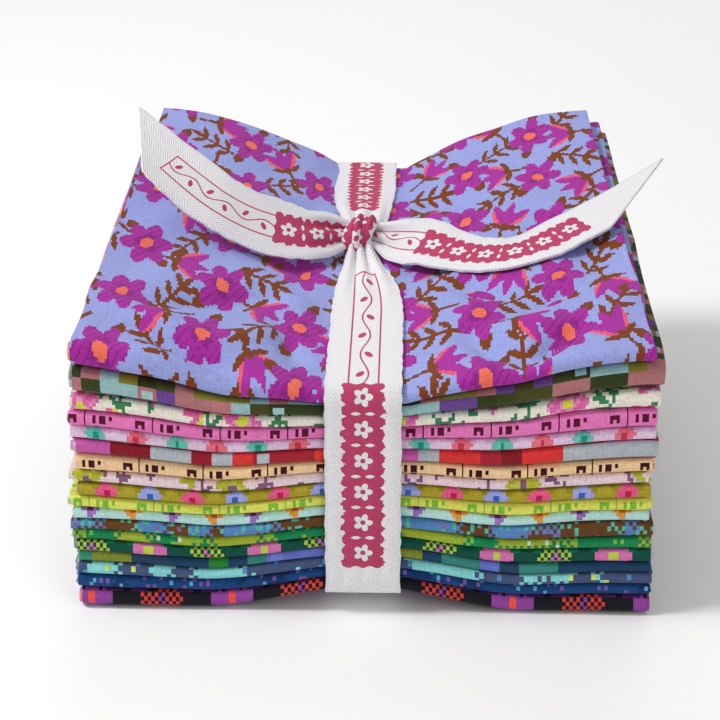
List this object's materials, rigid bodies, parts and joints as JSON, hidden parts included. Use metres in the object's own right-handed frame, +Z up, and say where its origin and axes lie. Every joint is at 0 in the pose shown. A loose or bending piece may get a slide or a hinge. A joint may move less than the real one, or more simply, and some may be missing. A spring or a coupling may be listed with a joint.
{
  "type": "fat quarter bundle",
  "caption": "Stack of folded printed quilting cottons, pulled in at the middle by a white cotton tape that is knotted on top with two slanted free ends.",
  "frame": {"origin": "on the surface the bundle lies on, under the middle of its box, tape ends included", "axes": "+X along the folded front edges, to the right as seen from the front; +Y from the front folds to the back; +Z up"},
  "size_m": [0.1582, 0.1916, 0.1065],
  "materials": {
    "cotton_periwinkle": "plain-weave quilting cotton, periwinkle ground with magenta, coral and brown stepped blossoms",
    "cotton_olive": "plain-weave quilting cotton, olive ground with rose, aqua and plum blocks",
    "cotton_cream": "plain-weave quilting cotton, cream ground with pink and green motifs",
    "cotton_pink": "plain-weave quilting cotton, pink ground with maroon lines and dashes",
    "cotton_lilac": "plain-weave quilting cotton, lilac ground with coral and teal motifs",
    "cotton_red": "plain-weave quilting cotton, red ground with crimson, grey and pink blocks",
    "cotton_peach": "plain-weave quilting cotton, peach ground with dark brown lines and stepped dots",
    "cotton_blush": "plain-weave quilting cotton, blush ground with lime and mauve motifs",
    "cotton_mustard": "plain-weave quilting cotton, mustard ground with pink and periwinkle motifs",
    "cotton_lime": "plain-weave quilting cotton, lime ground with green stepped dots",
    "cotton_aqua": "plain-weave quilting cotton, pale aqua ground with orange and purple motifs",
    "cotton_brown": "plain-weave quilting cotton, brown ground with blue and teal specks",
    "cotton_green": "plain-weave quilting cotton, green ground with lime motifs",
    "cotton_dark_green": "plain-weave quilting cotton, dark green ground with pink and lime motifs",
    "cotton_block_green": "plain-weave quilting cotton, green, navy, periwinkle and olive blocks",
    "cotton_slate": "plain-weave quilting cotton, slate ground with aqua motifs",
    "cotton_navy": "plain-weave quilting cotton, navy ground with purple specks",
    "cotton_black": "plain-weave quilting cotton, black ground with purple and red stepped blossoms",
    "cotton_tape": null
  },
  "bodies": {
    "root": {"cotton_01_periwinkle": "cotton_periwinkle", "cotton_02_olive": "cotton_olive", "cotton_03_cream": "cotton_cream", "cotton_04_pink": "cotton_pink", "cotton_05_lilac": "cotton_lilac", "cotton_06_red": "cotton_red", "cotton_07_peach": "cotton_peach", "cotton_08_blush": "cotton_blush", "cotton_09_mustard": "cotton_mustard", "cotton_10_lime": "cotton_lime", "cotton_11_aqua": "cotton_aqua", "cotton_12_brown": "cotton_brown", "cotton_13_green": "cotton_green", "cotton_14_dark_green": "cotton_dark_green", "cotton_15_block_green": "cotton_block_green", "cotton_16_slate": "cotton_slate", "cotton_17_navy": "cotton_navy", "cotton_18_black": "cotton_black", "tape_tie": "cotton_tape"}
  },
  "joints": []
}
